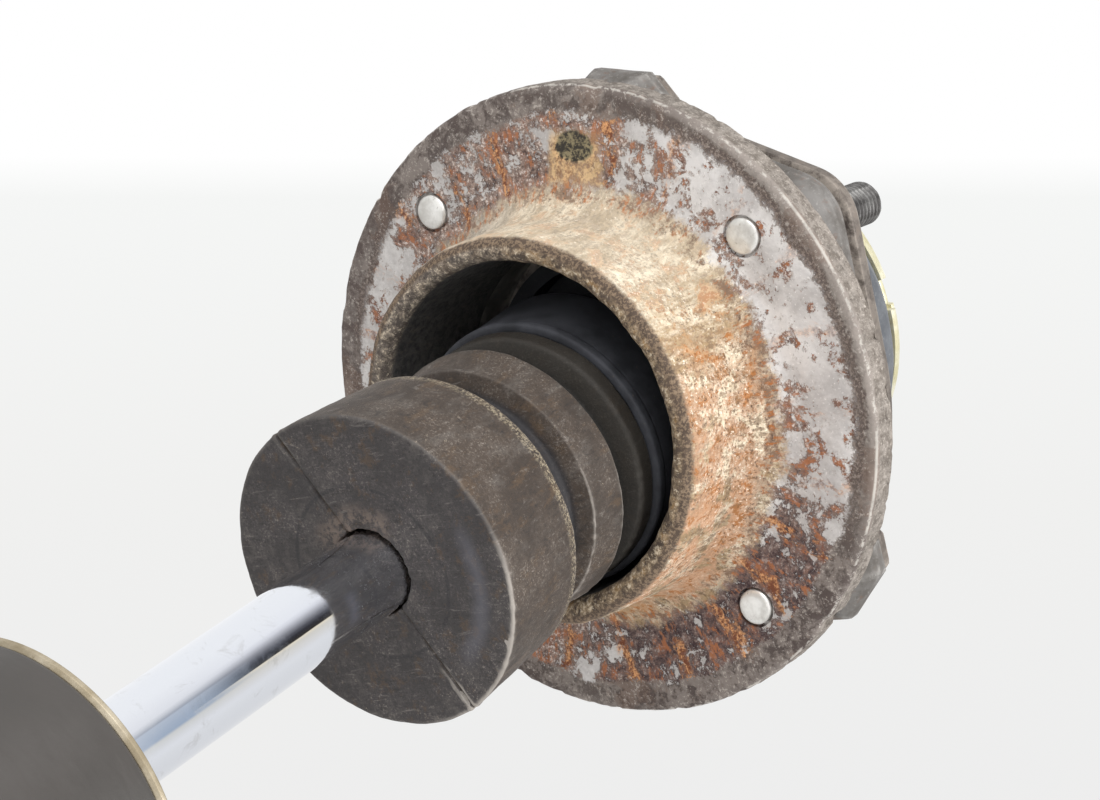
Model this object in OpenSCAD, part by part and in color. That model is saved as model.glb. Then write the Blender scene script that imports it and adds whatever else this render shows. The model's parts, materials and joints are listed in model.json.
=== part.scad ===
// Suspension strut: gas-pressurised monotube damper, bump stop and rubber-bushed top mount.
// Origin: centre of the stud circle on the mounting face. +Z: up along the piston rod.
// The mount stands leaned over on its bush, as it does when nothing holds it square.

/* [Top mount] */
// Lean of the mount from the rod's axis, in degrees
mount_tilt = 7.6; // [0:0.1:7.8]
// Radius of the spring seat's flange
seat_r = 57.5; // [56:0.5:60]
// Thickness of the spring seat's flange
seat_t = 6; // [5:0.5:7]
// Radius of the bore through the seat's collar
collar_bore_r = 30.05; // [30:0.05:30.5]
// Height of the collar below the seat's face
collar_h = 21.5; // [18:0.5:22]
// Diameter of the circle through the mounting studs
stud_pcd = 95; // [94:0.5:97]
// Diameter of a mounting stud
stud_d = 8; // [6:1:9]
// Height of the stud tips above the mounting face
stud_h = 21; // [15:1:24]
// Thickness of the steel stud plate
plate_t = 3; // [2:0.5:4]
// Radius of the rubber bush above the mount
upper_bush_r = 37.2; // [36:0.2:38]

/* [Bump stop] */
// Largest radius of the bump stop, at its lower face
stop_face_r = 26.95; // [26:0.05:28]
// Height of the bump stop's lower face
stop_face_z = -84.9; // [-90:0.1:-82]

/* [Damper] */
// Radius of the piston rod
rod_r = 7; // [6.5:0.1:7.5]
// Outer radius of the damper tube
tube_r = 26; // [25.5:0.5:27]
// Inner radius of the damper tube
tube_bore_r = 23; // [22.5:0.5:23.5]
// Height of the damper's top end at full extension
tube_top_z = -162.2; // [-165:0.1:-160]
// Distance from the damper's top end to the centre of the lower eye
eye_drop = 261.8; // [258:0.1:270]
// Radius of the lower spring perch
perch_r = 59; // [57:0.5:62]

/* [Lower eye] */
// Outer radius of the lower eye
eye_r = 22; // [21:0.5:24]
// Width of the lower eye
eye_w = 34; // [30:1:36]
// Radius of the bolt bore through the lower sleeve
bolt_bore_r = 6.1; // [5.1:0.1:7.1]
// Length of the lower sleeve
sleeve_len = 44; // [40:1:50]

/* [Hidden] */
$fn = 64;
// Clearance of a running fit, and between curved faces that turn past each other
run_fit = 0.05;
swing_gap = 0.3;

// Top mount, measured in its own leaned frame: z = 0 is the mounting face
seat_face_z = -18;
seat_back_z = seat_face_z + seat_t;
lip_z = seat_face_z - collar_h;
lip_wall = 4.55;
lip_round = lip_wall / 2;
fillet_r = 8.5;
fillet_mid_r = collar_bore_r + lip_wall + 0.3 + fillet_r;
seat_edge = 1.4;
rivet_angles = [57.2, 147.2, 237.2, 327.2];
rivet_ring_r = 46.5;
rivet_head_r = 3.2;
rivet_pocket_r = 3.7;
rivet_shank_r = 2.1;
rivet_pocket = 0.9;
rivet_stand = 0.5;
rivet_end_z = -7.5;
stud_angles = [0, 120, 240];
lobe_angles = [75, 195, 315];
stud_ring_r = stud_pcd / 2;
stud_r = stud_d / 2;
stud_root_z = -6.5;
stud_root_r = stud_r + 0.4;
casting_r = 51.2;
casting_seam = 50;
plate_seam = 35;
casting_top_z = -plate_t;
boss_r = 10.5;
lobe_r = 12;
casting_bore_r = collar_bore_r + 0.45;

// Bush: spherical faces about the origin, so that the rod can lean in it
shell_r = 29.7;
shell_t = 2.5;
shell_seat = 0.6;
shell_mouth_r = 14.5;
core_ball_r = 16;
core_ball_half = 12;
core_sleeve_r = 9;
core_low_z = -20;
core_top_z = 33;
bush_low_z = -9;
bush_top_z = 10;
upper_bush_low_z = 9;
washer_r = 35.2;
washer_t = 1.4;
washer_rim_r = 33.2;
washer_rim_z = core_top_z + 3.5;
washer_wall_r = 32;
washer_hub_r = 30.5;
washer_notch_angles = [89, 179, 269, 359];
nut_washer_t = 2;
nut_flats = 17;
nut_h = 9;

// Rod and its stepped ends
stem_r = 5;
cup_t = 2;
rod_shoulder_z = core_low_z - cup_t;
stem_top_z = 52;
cup_low_z = -36;
cup_low_r = 24;
cup_top_r = 24.8;
cup_wall = 1.5;

// Bump stop: three bulges, the lowest one the largest
stop_bore_r = rod_r + 0.4;
stop_edge = 1.6;
disc_top_z = -64.1;
disc_top_r = 25.65;
groove_r = 19;
ring_low_z = -53.5;
ring_low_r = 22.8;
ring_top_z = -46.4;
ring_top_r = 23.6;
bulge_low_z = -39.4;
bulge_r = 23.2;
stop_plug_r = 22;
stop_top_z = -24;

// Damper head
strike_t = 1.5;
head_z = tube_top_z - strike_t;
circlip_top_z = head_z - 2.8;
circlip_t = 1.5;
circlip_r = tube_bore_r + 1;
guide_top_z = circlip_top_z - circlip_t;
guide_len = 32;
guide_low_z = guide_top_z - guide_len;
guide_r = tube_bore_r - 0.02;
wiper_top_z = guide_top_z;
wiper_t = 3;
wiper_r = 11;
seal_t = 7;
seal_r = 12;
seal_top_z = wiper_top_z - wiper_t;
bush_sleeve_r = 8.5;
bush_sleeve_top_z = seal_top_z - seal_t - 2;
bush_sleeve_len = 16;
rod_fit_r = rod_r + run_fit;

// Rod's lower end, with the piston
rebound_top_z = guide_low_z - swing_gap;
rebound_len = 11;
rebound_r = 13;
collar_len = 4;
rebound_collar_z = rebound_top_z - rebound_len - collar_len;
snap_t = 1.6;
snap_groove = 0.8;
rod_low_z = rebound_collar_z - 10;
shim_t = 0.5;
shim_count = 4;
shim_step = 2;
shim_large_r = 17;
shim_stack = shim_t * shim_count;
piston_top_z = rod_low_z - shim_stack;
piston_len = 20;
piston_low_z = piston_top_z - piston_len;
piston_r = tube_bore_r - 0.7;
band_r = tube_bore_r - run_fit;
band_inset = 4;
port_ring_r = 12.5;
port_r = 2;
port_count = 6;
piston_nut_flats = 17;
piston_nut_h = 8;
piston_nut_z = piston_low_z - shim_stack - piston_nut_h;
stem_low_z = piston_nut_z - 2;

// Damper's lower end
eye_z = tube_top_z - eye_drop;
base_low_z = eye_z + eye_r - 1;
base_t = 6;
tube_low_z = base_low_z + base_t;
spigot_h = 3;
floating_len = 14;
floating_top_z = -359;
floating_low_z = floating_top_z - floating_len;
floating_wall = 5;
floating_r = tube_bore_r - run_fit;
oring_r = 1.3;
fill_z = tube_low_z + spigot_h + 5;
fill_r = 3;
fill_head_r = 5;
neck_w = 26;

// Lower bush
eye_bore_r = 17.5;
lower_shell_t = 1.8;
lower_rubber_r = eye_bore_r - lower_shell_t;
sleeve_r = 10;
lower_rubber_w = eye_w - 2;

// Lower spring perch
perch_seat_z = tube_top_z - 107.8;
perch_t = 2.5;
perch_step_r = 42;
perch_step_h = 8;
perch_rim_h = 6;
perch_hub_h = 14;
perch_ring_t = 2.5;
perch_ring_r = tube_r + 2;
perch_groove = 0.8;
perch_low_z = perch_seat_z - perch_hub_h;

// ---- helpers ----

function arc(mid_r, mid_z, radius, from, to, steps = 10) =
  [for (i = [0:steps])
    let (a = from + (to - from) * i / steps)
    [mid_r + radius * cos(a), mid_z + radius * sin(a)]];

module in_mount() {
  rotate([0, mount_tilt, 0]) children();
}

// Copies at these angles on a circle, each turned so that its seam faces the middle
module around(angles, radius) {
  for (a = angles) rotate([0, 0, a]) translate([radius, 0, 0]) rotate([0, 0, 180]) children();
}

module rod_piece(low, high, radius) {
  translate([0, 0, low]) cylinder(h = high - low, r = radius);
}

module cone_piece(low, high, low_r, high_r) {
  translate([0, 0, low]) cylinder(h = high - low, r1 = low_r, r2 = high_r);
}

module ring(low, high, outer_r, inner_r) {
  difference() {
    rod_piece(low, high, outer_r);
    rod_piece(low - 1, high + 1, inner_r);
  }
}

module turned(points) {
  rotate_extrude() polygon(points);
}

module hex_nut(low, high, flats, bore_r) {
  difference() {
    translate([0, 0, low]) cylinder(h = high - low, r = flats / sqrt(3), $fn = 6);
    rod_piece(low - 1, high + 1, bore_r);
  }
}

// A ring of round section that lies in a groove
module oring(z, ring_r, section_r) {
  rotate_extrude() translate([ring_r, z]) circle(r = section_r);
}

module oring_groove(z, shaft_r, section_r) {
  ring(z - section_r, z + section_r, shaft_r + 1, shaft_r - 2 * section_r);
}

// Shims shrink away from the piston, one thin step at a time
module shim_pile(z, direction) {
  for (i = [0:shim_count - 1]) {
    low = direction > 0 ? z + i * shim_t : z - (i + 1) * shim_t;
    ring(low, low + shim_t, shim_large_r - i * shim_step, stem_r);
  }
}

// ---- top mount ----

module spring_seat() {
  outline = concat(
    [[collar_bore_r, seat_back_z]],
    arc(collar_bore_r + lip_round, lip_z + lip_round, lip_round, 180, 360),
    arc(fillet_mid_r, seat_face_z - fillet_r, fillet_r, 180, 90),
    arc(seat_r - seat_edge, seat_face_z + seat_edge, seat_edge, -90, 0, 4),
    [[seat_r, seat_back_z]]
  );
  color("#8b7768") in_mount() difference() {
    turned(outline);
    around(rivet_angles, rivet_ring_r) {
      rod_piece(seat_face_z - 1, seat_face_z + rivet_pocket, rivet_pocket_r);
      rod_piece(seat_face_z - 1, seat_back_z + 1, rivet_shank_r);
    }
  }
}

module mount_body() {
  color("#6f675f") in_mount() difference() {
    union() {
      rotate([0, 0, casting_seam]) rod_piece(seat_back_z, casting_top_z, casting_r);
      around(stud_angles, stud_ring_r) rod_piece(seat_back_z, casting_top_z, boss_r);
      around(lobe_angles, stud_ring_r) rod_piece(seat_back_z, casting_top_z, lobe_r);
    }
    rod_piece(seat_back_z - 1, casting_top_z + 1, casting_bore_r);
    around(stud_angles, stud_ring_r) rod_piece(stud_root_z, casting_top_z + 1, stud_root_r);
    around(rivet_angles, rivet_ring_r) rod_piece(seat_back_z - 1, rivet_end_z, rivet_shank_r);
  }
}

module seat_rivets() {
  color("#d9dadb") in_mount() around(rivet_angles, rivet_ring_r) {
    rod_piece(seat_face_z - rivet_stand, seat_face_z + rivet_pocket, rivet_head_r);
    rod_piece(seat_face_z + rivet_pocket, rivet_end_z, rivet_shank_r);
  }
}

module stud_plate() {
  color("#6d5f55") in_mount() difference() {
    union() {
      rotate([0, 0, plate_seam]) rod_piece(casting_top_z, 0, casting_r);
      around(stud_angles, stud_ring_r) rod_piece(casting_top_z, 0, boss_r);
      around(lobe_angles, stud_ring_r) rod_piece(casting_top_z, 0, boss_r);
    }
    rod_piece(casting_top_z - 1, 1, shell_r - shell_t);
    rod_piece(-shell_seat, 1, shell_r + 0.5);
    around(stud_angles, stud_ring_r) rod_piece(casting_top_z - 1, 1, stud_root_r);
  }
}

module mount_studs() {
  color("#5f6063") in_mount() around(stud_angles, stud_ring_r) {
    rod_piece(stud_root_z, 0, stud_root_r);
    rod_piece(0, stud_h, stud_r);
  }
}

module bush_shell() {
  color("#4a4d52") in_mount() difference() {
    sphere(r = shell_r);
    sphere(r = shell_r - shell_t);
    rod_piece(-shell_seat - 1, 0, shell_r - shell_t);
    rod_piece(-shell_r - 1, -shell_seat, shell_r + 1);
    rod_piece(0, shell_r + 1, shell_mouth_r);
  }
}

module bush_rubber() {
  rubber_r = shell_r - shell_t;
  color("#23252a") in_mount() difference() {
    union() {
      rod_piece(bush_low_z, 0, rubber_r);
      intersection() {
        sphere(r = rubber_r);
        rod_piece(0, bush_top_z, rubber_r);
      }
    }
    sphere(r = core_ball_r + swing_gap);
    ring(bush_low_z - 1, bush_low_z + 5, rubber_r - 3, core_ball_r + 3);
  }
}

// ---- parts on the rod ----

module bush_core() {
  color("#5a5c60") difference() {
    union() {
      intersection() {
        sphere(r = core_ball_r);
        rod_piece(-core_ball_half, core_ball_half, core_ball_r);
      }
      rod_piece(core_low_z, core_top_z, core_sleeve_r);
    }
    rod_piece(core_low_z - 1, core_top_z + 1, stem_r + run_fit);
  }
}

module upper_bush() {
  outline = [
    [core_sleeve_r, upper_bush_low_z],
    [upper_bush_r - 1.2, upper_bush_low_z],
    [upper_bush_r, upper_bush_low_z + 2],
    [upper_bush_r, core_top_z - 5],
    [upper_bush_r - 1.3, core_top_z - 2],
    [washer_r - 1.2, core_top_z],
    [core_sleeve_r, core_top_z]
  ];
  color("#3f444b") difference() {
    turned(outline);
    sphere(r = shell_r + swing_gap);
  }
}

module upper_washer() {
  top_z = washer_rim_z + washer_t;
  outline = [
    [stem_r + run_fit, core_top_z],
    [washer_r, core_top_z],
    [washer_r, core_top_z + washer_t],
    [washer_wall_r, core_top_z + washer_t],
    [washer_wall_r, washer_rim_z],
    [washer_rim_r, washer_rim_z],
    [washer_rim_r, top_z],
    [washer_hub_r, top_z],
    [washer_hub_r, core_top_z + washer_t],
    [stem_r + run_fit, core_top_z + washer_t]
  ];
  color("#c9b968") difference() {
    turned(outline);
    around(washer_notch_angles, washer_r) translate([-3, -3, core_top_z - 1]) cube([6, 6, 8]);
  }
}

module nut_washer() {
  low = core_top_z + washer_t;
  color("#9a9c9e") ring(low, low + nut_washer_t, nut_flats / 2 + 1.5, stem_r + run_fit);
}

module top_nut() {
  low = core_top_z + washer_t + nut_washer_t;
  color("#b3b09a") hex_nut(low, low + nut_h, nut_flats, stem_r);
}

module bump_stop_cup() {
  color("#33383f") difference() {
    cone_piece(cup_low_z, core_low_z, cup_low_r, cup_top_r);
    cone_piece(cup_low_z - 0.01, rod_shoulder_z, cup_low_r - cup_wall, cup_top_r - cup_wall);
    rod_piece(rod_shoulder_z - 1, core_low_z + 1, stem_r + run_fit);
  }
}

module bump_stop() {
  outline = concat(
    [[stop_bore_r, stop_face_z]],
    arc(stop_face_r - stop_edge, stop_face_z + stop_edge, stop_edge, -90, 0, 4),
    [
      [disc_top_r, disc_top_z - 1],
      [disc_top_r - 1, disc_top_z],
      [groove_r + 0.5, disc_top_z + 3],
      [groove_r, disc_top_z + 5],
      [groove_r + 0.5, ring_low_z - 2.5],
      [ring_low_r - 0.6, ring_low_z - 0.6],
      [ring_low_r, ring_low_z],
      [ring_top_r, ring_top_z - 0.8],
      [ring_top_r - 0.8, ring_top_z],
      [groove_r, ring_top_z + 2.6],
      [groove_r, bulge_low_z - 2],
      [bulge_r - 1.6, bulge_low_z],
      [bulge_r, bulge_low_z + 1.2],
      [bulge_r, cup_low_z - 0.4],
      [stop_plug_r, cup_low_z],
      [stop_plug_r, stop_top_z],
      [stop_bore_r, stop_top_z]
    ]
  );
  color("#2b2725") turned(outline);
}

module piston_rod() {
  color("#dfe6ee") difference() {
    union() {
      rod_piece(rod_low_z, rod_shoulder_z, rod_r);
      rod_piece(rod_shoulder_z, stem_top_z, stem_r);
      rod_piece(stem_low_z, rod_low_z, stem_r);
    }
    ring(rebound_collar_z - snap_t, rebound_collar_z, rod_r + 1, rod_r - snap_groove);
  }
}

module rebound_stop() {
  color("#d8cf9a") difference() {
    ring(rebound_top_z - rebound_len, rebound_top_z, rebound_r, rod_r + run_fit);
    ring(rebound_top_z - 7, rebound_top_z - 4, rebound_r + 1, rebound_r - 2);
  }
}

module rebound_collar() {
  color("#8f9296") ring(rebound_collar_z, rebound_collar_z + collar_len, rebound_r, rod_r + run_fit);
}

module rebound_snap_ring() {
  color("#77797c") difference() {
    ring(rebound_collar_z - snap_t, rebound_collar_z, rod_r + 1.6, rod_r - snap_groove);
    translate([0, -1.5, rebound_collar_z - snap_t - 1]) cube([rod_r + 3, 3, snap_t + 2]);
  }
}

module compression_shims() {
  color("#a7b0b8") shim_pile(piston_top_z, 1);
}

module rebound_shims() {
  color("#a7b0b8") shim_pile(piston_low_z, -1);
}

module piston() {
  color("#8a8d90") difference() {
    rod_piece(piston_low_z, piston_top_z, piston_r);
    rod_piece(piston_low_z - 1, piston_top_z + 1, stem_r);
    ring(piston_low_z + band_inset, piston_top_z - band_inset, piston_r + 1, piston_r - 1);
    around([for (i = [0:port_count - 1]) i * 360 / port_count], port_ring_r)
      rod_piece(piston_low_z - 1, piston_top_z + 1, port_r);
  }
}

module piston_band() {
  color("#b9a37a") ring(piston_low_z + band_inset, piston_top_z - band_inset, band_r, piston_r - 1);
}

module piston_nut() {
  color("#7d8084") hex_nut(piston_nut_z, piston_nut_z + piston_nut_h, piston_nut_flats, stem_r);
}

// ---- damper ----

module damper_tube() {
  color("#4d443c") difference() {
    ring(tube_low_z, head_z, tube_r, tube_bore_r);
    ring(circlip_top_z - circlip_t, circlip_top_z, circlip_r, tube_bore_r - 1);
    ring(perch_low_z - perch_ring_t, perch_low_z, tube_r + 1, tube_r - perch_groove);
    translate([0, 0, fill_z]) rotate([0, 90, 0]) cylinder(h = tube_r + 2, r = fill_r);
  }
}

module strike_plate() {
  color("#c8a648") ring(head_z, tube_top_z, tube_r + run_fit, rod_r + 1.5);
}

module head_circlip() {
  color("#6c6e72") difference() {
    ring(circlip_top_z - circlip_t, circlip_top_z, circlip_r, tube_bore_r - 3);
    translate([0, -4, circlip_top_z - circlip_t - 1]) cube([circlip_r + 2, 8, circlip_t + 2]);
  }
}

module rod_wiper() {
  color("#1f2124") ring(wiper_top_z - wiper_t, wiper_top_z, wiper_r, rod_fit_r);
}

module rod_seal() {
  color("#3b2a22") ring(seal_top_z - seal_t, seal_top_z, seal_r, rod_fit_r);
}

module rod_guide() {
  color("#9b9da0") difference() {
    rod_piece(guide_low_z, guide_top_z, guide_r);
    rod_piece(guide_low_z - 1, guide_top_z + 1, rod_r + 0.6);
    rod_piece(wiper_top_z - wiper_t, guide_top_z + 1, wiper_r);
    rod_piece(seal_top_z - seal_t, seal_top_z, seal_r);
    rod_piece(bush_sleeve_top_z - bush_sleeve_len, bush_sleeve_top_z, bush_sleeve_r);
    oring_groove((guide_low_z + guide_top_z) / 2, guide_r, oring_r);
  }
}

module guide_bush() {
  color("#a98b56") ring(bush_sleeve_top_z - bush_sleeve_len, bush_sleeve_top_z, bush_sleeve_r, rod_fit_r);
}

module guide_oring() {
  color("#1c1d20") oring((guide_low_z + guide_top_z) / 2, guide_r - oring_r, oring_r - 0.02);
}

module spring_perch() {
  outline = [
    [tube_r, perch_low_z],
    [tube_r + perch_t, perch_low_z],
    [tube_r + perch_t, perch_seat_z + perch_step_h - perch_t - 2],
    [tube_r + perch_t + 2, perch_seat_z + perch_step_h - perch_t],
    [perch_step_r - perch_t, perch_seat_z + perch_step_h - perch_t],
    [perch_step_r - perch_t, perch_seat_z - perch_t],
    [perch_r, perch_seat_z - perch_t],
    [perch_r, perch_seat_z + perch_rim_h],
    [perch_r - perch_t, perch_seat_z + perch_rim_h],
    [perch_r - perch_t, perch_seat_z],
    [perch_step_r, perch_seat_z],
    [perch_step_r, perch_seat_z + perch_step_h - 2],
    [perch_step_r - 2, perch_seat_z + perch_step_h],
    [tube_r, perch_seat_z + perch_step_h]
  ];
  color("#2a2a2c") turned(outline);
}

module perch_ring() {
  color("#77797c") ring(perch_low_z - perch_ring_t, perch_low_z, perch_ring_r, tube_r - perch_groove);
}

module floating_piston() {
  mid_z = (floating_low_z + floating_top_z) / 2;
  color("#a3a5a8") difference() {
    rod_piece(floating_low_z, floating_top_z, floating_r);
    rod_piece(floating_low_z - 1, floating_top_z - floating_wall, floating_r - floating_wall);
    oring_groove(mid_z, floating_r, oring_r);
  }
}

module floating_oring() {
  mid_z = (floating_low_z + floating_top_z) / 2;
  color("#1c1d20") oring(mid_z, floating_r - oring_r, oring_r - 0.02);
}

module base_cap() {
  color("#4d443c") {
    rod_piece(base_low_z, tube_low_z, tube_r);
    rod_piece(tube_low_z, tube_low_z + spigot_h, tube_bore_r);
  }
}

module fill_screw() {
  color("#8f9296") translate([0, 0, fill_z]) rotate([0, 90, 0]) {
    rod_piece(tube_bore_r + 0.3, tube_r, fill_r);
    difference() {
      rod_piece(tube_r + 0.1, tube_r + 3, fill_head_r);
      translate([0, 0, tube_r + 1.5]) cylinder(h = 3, r = 2, $fn = 6);
    }
    rod_piece(tube_r, tube_r + 0.1, fill_r);
  }
}

module along_y(z) {
  translate([0, 0, z]) rotate([90, 0, 0]) children();
}

module lower_eye() {
  color("#463f3a") difference() {
    union() {
      along_y(eye_z) rod_piece(-eye_w / 2, eye_w / 2, eye_r);
      translate([-neck_w / 2, -eye_w / 2, eye_z]) cube([neck_w, eye_w, base_low_z - eye_z]);
    }
    along_y(eye_z) rod_piece(-eye_w, eye_w, eye_bore_r);
    translate([-tube_r, -tube_r, base_low_z]) cube([2 * tube_r, 2 * tube_r, base_t]);
  }
}

module lower_bush_shell() {
  color("#77797c") along_y(eye_z) ring(-eye_w / 2, eye_w / 2, eye_bore_r, lower_rubber_r);
}

module lower_bush_rubber() {
  color("#26272b") along_y(eye_z)
    ring(-lower_rubber_w / 2, lower_rubber_w / 2, lower_rubber_r, sleeve_r + run_fit);
}

module lower_sleeve() {
  color("#a9a48c") along_y(eye_z) ring(-sleeve_len / 2, sleeve_len / 2, sleeve_r, bolt_bore_r);
}

spring_seat();
mount_body();
stud_plate();
mount_studs();
seat_rivets();
bush_shell();
bush_rubber();
bush_core();
upper_bush();
upper_washer();
nut_washer();
top_nut();
bump_stop_cup();
bump_stop();
piston_rod();
rebound_stop();
rebound_collar();
rebound_snap_ring();
compression_shims();
piston();
piston_band();
rebound_shims();
piston_nut();
damper_tube();
strike_plate();
head_circlip();
rod_wiper();
rod_seal();
rod_guide();
guide_bush();
guide_oring();
spring_perch();
perch_ring();
floating_piston();
floating_oring();
base_cap();
fill_screw();
lower_eye();
lower_bush_shell();
lower_bush_rubber();
lower_sleeve();
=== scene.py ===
"""Looks of the strut assembly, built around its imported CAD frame.

Meshes are made in millimetres, each about its own axis, and placed in the row frame in metres.
The mount's pieces are made about the mount's own axis and then leaned over as the CAD leans them.
An outline is a list of points (distance from the axis, place along it), which turned() spins.
"""

import json
from math import acos, asin, atan2, ceil, cos, degrees, dist, exp, hypot, pi, radians, sin
from math import sqrt, tan

import bpy
import bmesh
import numpy as np
from mathutils import Matrix, Vector, noise


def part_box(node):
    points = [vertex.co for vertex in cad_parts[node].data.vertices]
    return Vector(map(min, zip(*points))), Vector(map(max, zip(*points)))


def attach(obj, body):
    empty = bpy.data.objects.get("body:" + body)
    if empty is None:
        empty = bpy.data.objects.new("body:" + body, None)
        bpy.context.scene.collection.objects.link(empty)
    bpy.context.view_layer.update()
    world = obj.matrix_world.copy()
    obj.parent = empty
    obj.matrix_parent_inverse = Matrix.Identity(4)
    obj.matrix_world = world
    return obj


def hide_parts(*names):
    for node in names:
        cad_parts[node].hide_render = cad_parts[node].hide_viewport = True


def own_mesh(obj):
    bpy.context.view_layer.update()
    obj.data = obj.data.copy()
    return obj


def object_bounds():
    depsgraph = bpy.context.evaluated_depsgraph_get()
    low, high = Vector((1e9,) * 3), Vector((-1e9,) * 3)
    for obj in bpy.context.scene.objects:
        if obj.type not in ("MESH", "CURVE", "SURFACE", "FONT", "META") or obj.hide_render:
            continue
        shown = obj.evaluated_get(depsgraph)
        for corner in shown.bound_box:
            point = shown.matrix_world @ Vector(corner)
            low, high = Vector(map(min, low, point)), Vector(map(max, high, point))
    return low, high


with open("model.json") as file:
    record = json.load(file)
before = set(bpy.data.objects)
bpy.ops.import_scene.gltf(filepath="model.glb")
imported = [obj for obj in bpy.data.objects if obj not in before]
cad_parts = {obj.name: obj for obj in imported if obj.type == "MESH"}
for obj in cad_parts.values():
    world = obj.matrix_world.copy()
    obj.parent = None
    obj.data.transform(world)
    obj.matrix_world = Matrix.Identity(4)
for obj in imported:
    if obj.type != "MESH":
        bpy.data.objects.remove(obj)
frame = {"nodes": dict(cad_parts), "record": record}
cad_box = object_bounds()

MM = 0.001
TAU = 2 * pi

# ---- the frame's own axes and sizes ----

record = frame["record"]
top_studs = next(m for m in record["mounts"] if m["name"] == "top_studs")
mount_axis = Vector(top_studs["axis"])
LEAN = atan2(mount_axis.x, mount_axis.z)
IN_MOUNT = Matrix.Rotation(LEAN, 4, "Y")
IN_ROD = Matrix.Identity(4)
STOP_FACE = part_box("bump_stop")[0].z / MM


class Extent:
    """How far a CAD node reaches about its own axis, in mm: r, and low and high along the axis."""

    def __init__(self, node, turn=IN_ROD):
        back = turn.inverted()
        points = [back @ v.co / MM for v in frame["nodes"][node].data.vertices]
        self.r = max(hypot(p.x, p.y) for p in points)
        self.low = min(p.z for p in points)
        self.high = max(p.z for p in points)


# ---- mesh building ----


def rounded(corners, steps=4):
    """Outline points from corners (r, z) or (r, z, radius), which are rounded off."""
    points = []
    places = [np.array(corner[:2], float) for corner in corners]
    for i, (corner, here) in enumerate(zip(corners, places)):
        radius = corner[2] if len(corner) > 2 else 0
        if not radius:
            points.append(tuple(here))
            continue
        before, after = places[i - 1] - here, places[(i + 1) % len(places)] - here
        to_before, to_after = np.linalg.norm(before), np.linalg.norm(after)
        half = acos(np.clip(before @ after / (to_before * to_after), -1, 1)) / 2
        reach = min(radius / tan(half), 0.48 * to_before, 0.48 * to_after)
        start, end = here + before / to_before * reach, here + after / to_after * reach
        for k in range(steps + 1):
            t = k / steps
            p = (1 - t) ** 2 * start + 2 * t * (1 - t) * here + t**2 * end
            points.append(tuple(p))
    return points


def pipe(inner, outer, low, high, radii=(0, 0, 0, 0)):
    """Outline of a pipe, or of a plain rod if inner is 0, with its corners rounded off."""
    corners = ((inner, low), (outer, low), (outer, high), (inner, high))
    return rounded([(*corner, radius) for corner, radius in zip(corners, radii)])


def both_ends(edge, low, high):
    """Outline with the same edge, of points (distance from axis, depth), at both ends."""
    return [(r, low + d) for r, d in edge] + [(r, high - d) for r, d in reversed(edge)]


def arc(mid_r, mid_z, radius, first, last, steps):
    """Points on an arc from angle first to angle last, in degrees."""
    angles = [radians(first + (last - first) * k / steps) for k in range(steps + 1)]
    return [(mid_r + radius * cos(a), mid_z + radius * sin(a)) for a in angles]


def divided(p, q, parts):
    """The points that divide p to q into equal parts, p among them."""
    return [tuple(a + (b - a) * k / parts for a, b in zip(p, q)) for k in range(parts)]


def refined(points, spacing, closed=True):
    """The same outline with extra points, so that none are further apart than spacing."""
    result = []
    for i, p in enumerate(points):
        if i == len(points) - 1 and not closed:
            return result + [p]
        q = points[(i + 1) % len(points)]
        result += divided(p, q, max(1, ceil(dist(p, q) / spacing)))
    return result


def apart(a, b):
    """Degrees between two directions round the axis."""
    return abs((a - b + 180) % 360 - 180)


def spread(count, marks=(), reach=0, step=1):
    """count angles in degrees round the axis, closer together within reach of each mark."""
    angles = {round(360 * k / count, 4) for k in range(count)}
    for mark in marks:
        angles = {a for a in angles if apart(a, mark) > reach + step / 2}
        fine = round(reach / step)
        angles |= {round((mark + k * step) % 360, 4) for k in range(-fine, fine + 1)}
    return sorted(angles)


def turned(outline, angles=128):
    """Vertices and faces of an outline of (r, z) points turned about Z.

    outline is a list, or a function of the angle in degrees that gives lists of one length.
    One that starts and ends on the axis makes a solid, and any other one closes on itself.
    """
    if isinstance(angles, int):
        angles = spread(angles)
    columns = [outline(a) if callable(outline) else outline for a in angles]
    solid = columns[0][0][0] == 0 and columns[0][-1][0] == 0
    body = slice(1, -1) if solid else slice(None)
    verts = [
        (r * cos(radians(a)), r * sin(radians(a)), z)
        for a, column in zip(angles, columns)
        for r, z in column[body]
    ]
    rows, turns = len(columns[0][body]), len(angles)
    faces = []
    for i in range(turns):
        here, there = i * rows, (i + 1) % turns * rows
        for k in range(rows - 1 if solid else rows):
            up = (k + 1) % rows
            faces.append((here + k, there + k, there + up, here + up))
    if solid:
        first, last = len(verts), len(verts) + 1
        verts += [(0, 0, columns[0][0][1]), (0, 0, columns[0][-1][1])]
        for i in range(turns):
            here, there = i * rows, (i + 1) % turns * rows
            faces.append((first, there, here))
            faces.append((here + rows - 1, there + rows - 1, last))
    return verts, faces


SQUARE = ((-1, -1), (1, -1), (1, 1), (-1, 1))


def block(half_x, half_y, low, high):
    """Vertices and faces of an upright block about the axis."""
    verts = [(x * half_x, y * half_y, z) for z in (low, high) for x, y in SQUARE]
    upright = [(0, 1, 5, 4), (1, 2, 6, 5), (2, 3, 7, 6), (3, 0, 4, 7)]
    return verts, [(0, 1, 2, 3), (4, 5, 6, 7), *upright]


def moved(geometry, matrix):
    verts, faces = geometry
    return [tuple(matrix @ Vector(v)) for v in verts], faces


def joined(*parts):
    verts, faces = [], []
    for part_verts, part_faces in parts:
        start = len(verts)
        verts += part_verts
        faces += [tuple(i + start for i in f) for f in part_faces]
    return verts, faces


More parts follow.
